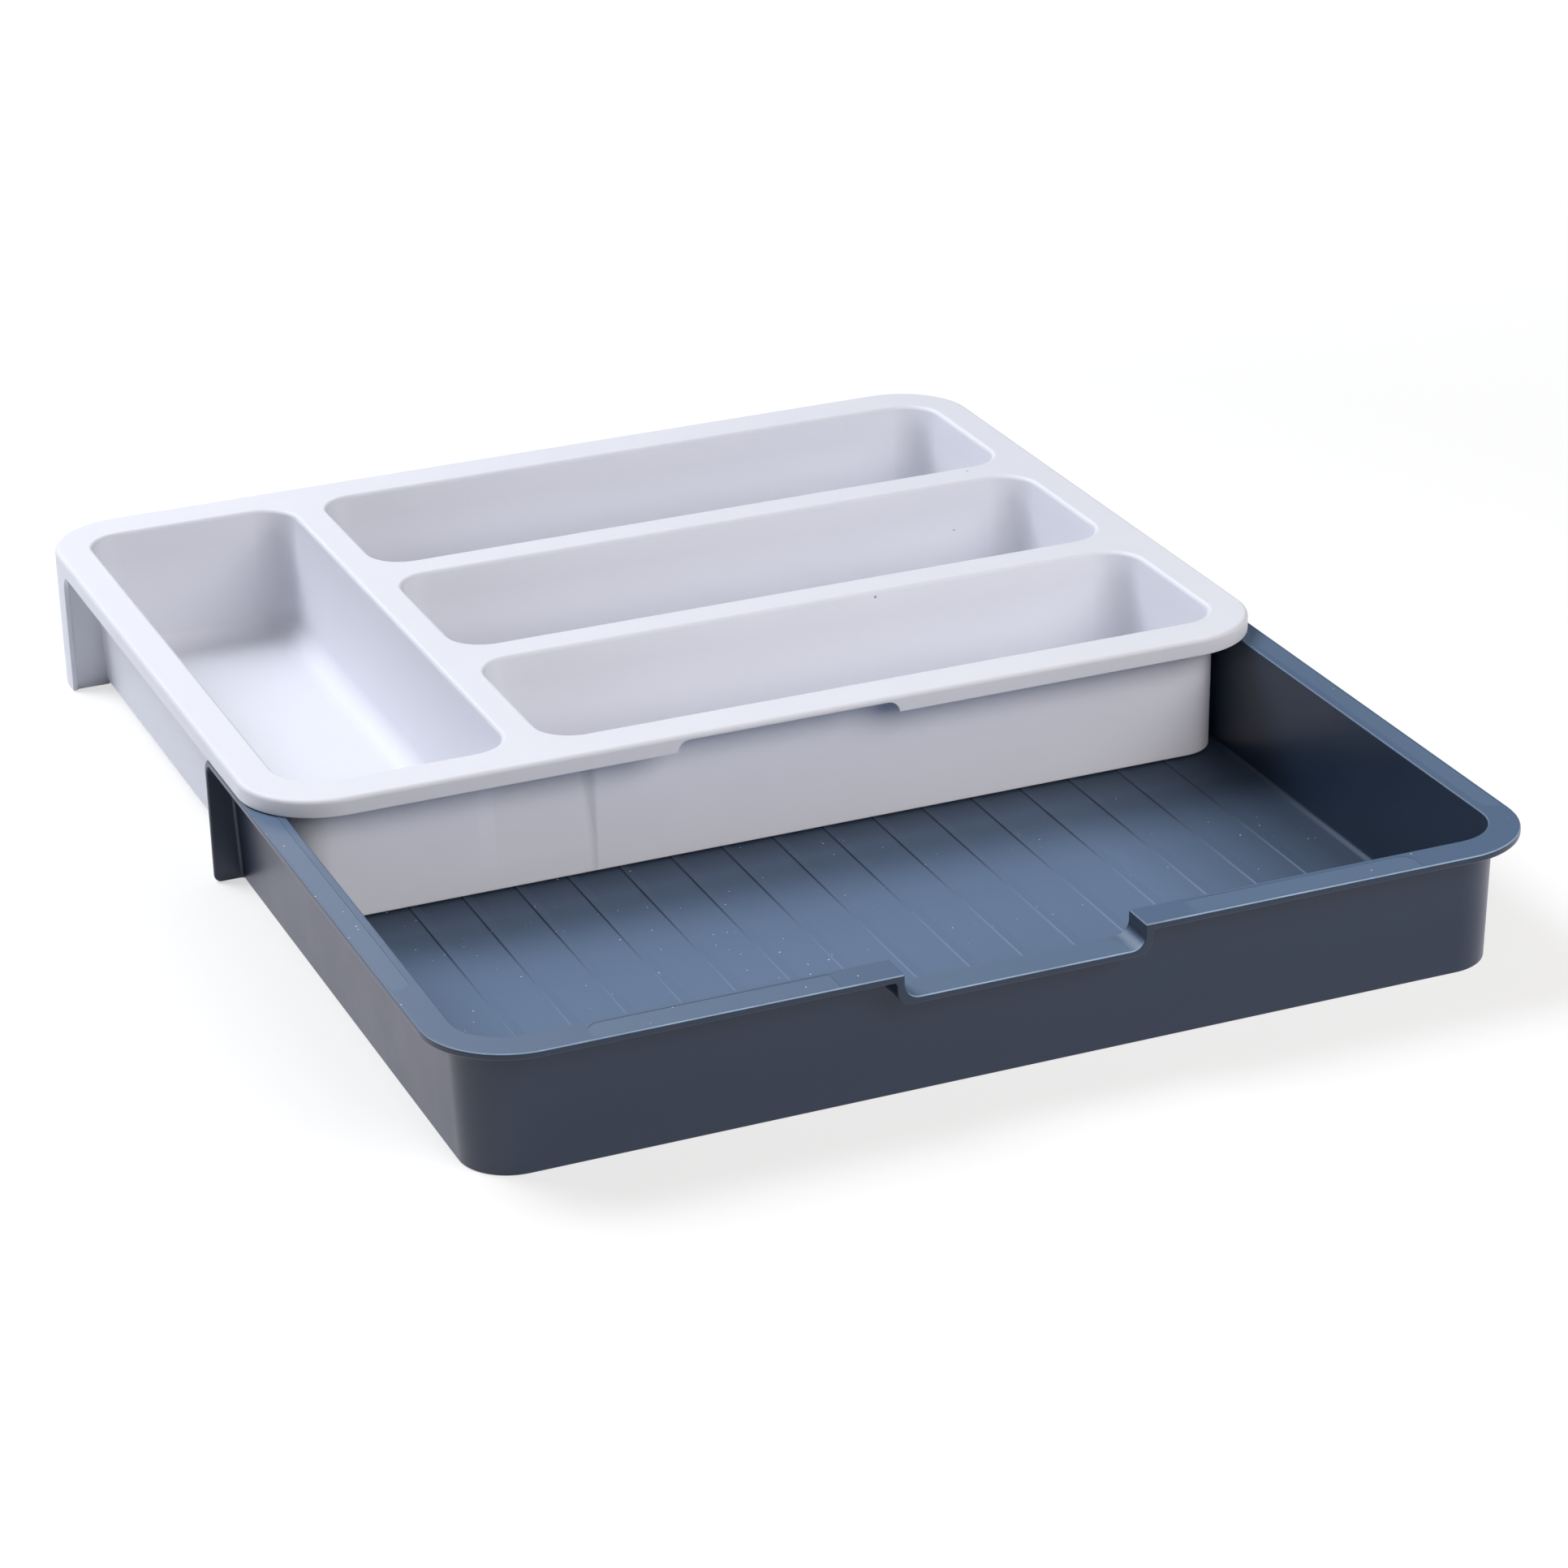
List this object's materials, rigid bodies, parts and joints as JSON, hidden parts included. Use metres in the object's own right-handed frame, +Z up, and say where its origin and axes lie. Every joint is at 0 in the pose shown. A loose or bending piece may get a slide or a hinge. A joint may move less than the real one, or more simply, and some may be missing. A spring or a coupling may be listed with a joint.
{
  "type": "drawer organizer",
  "caption": "Expanding drawer organizer: a pale divided tray that hangs in a slate tub, rests its lips on the tub's rims and slides out to lengthen the pair.",
  "frame": {"origin": "on the surface that the organizer stands on, under the middle of the pulled-out pair", "axes": "+X to the right along the pockets, +Y away from the front, the way the upper tray is pulled out, +Z up"},
  "size_m": [0.38, 0.492, 0.0545],
  "materials": {
    "slate_plastic": "satin moulded polypropylene, slate blue",
    "pale_plastic": "satin moulded polypropylene, pale cool grey"
  },
  "bodies": {
    "lower": {"lower_tray": "slate_plastic"},
    "upper": {"upper_tray": "pale_plastic"}
  },
  "joints": [
    {"name": "tray_slide", "type": "slide", "parent": "lower", "child": "upper", "axis": [0, 1, 0], "range_m": [-0.192, 0.008]}
  ]
}
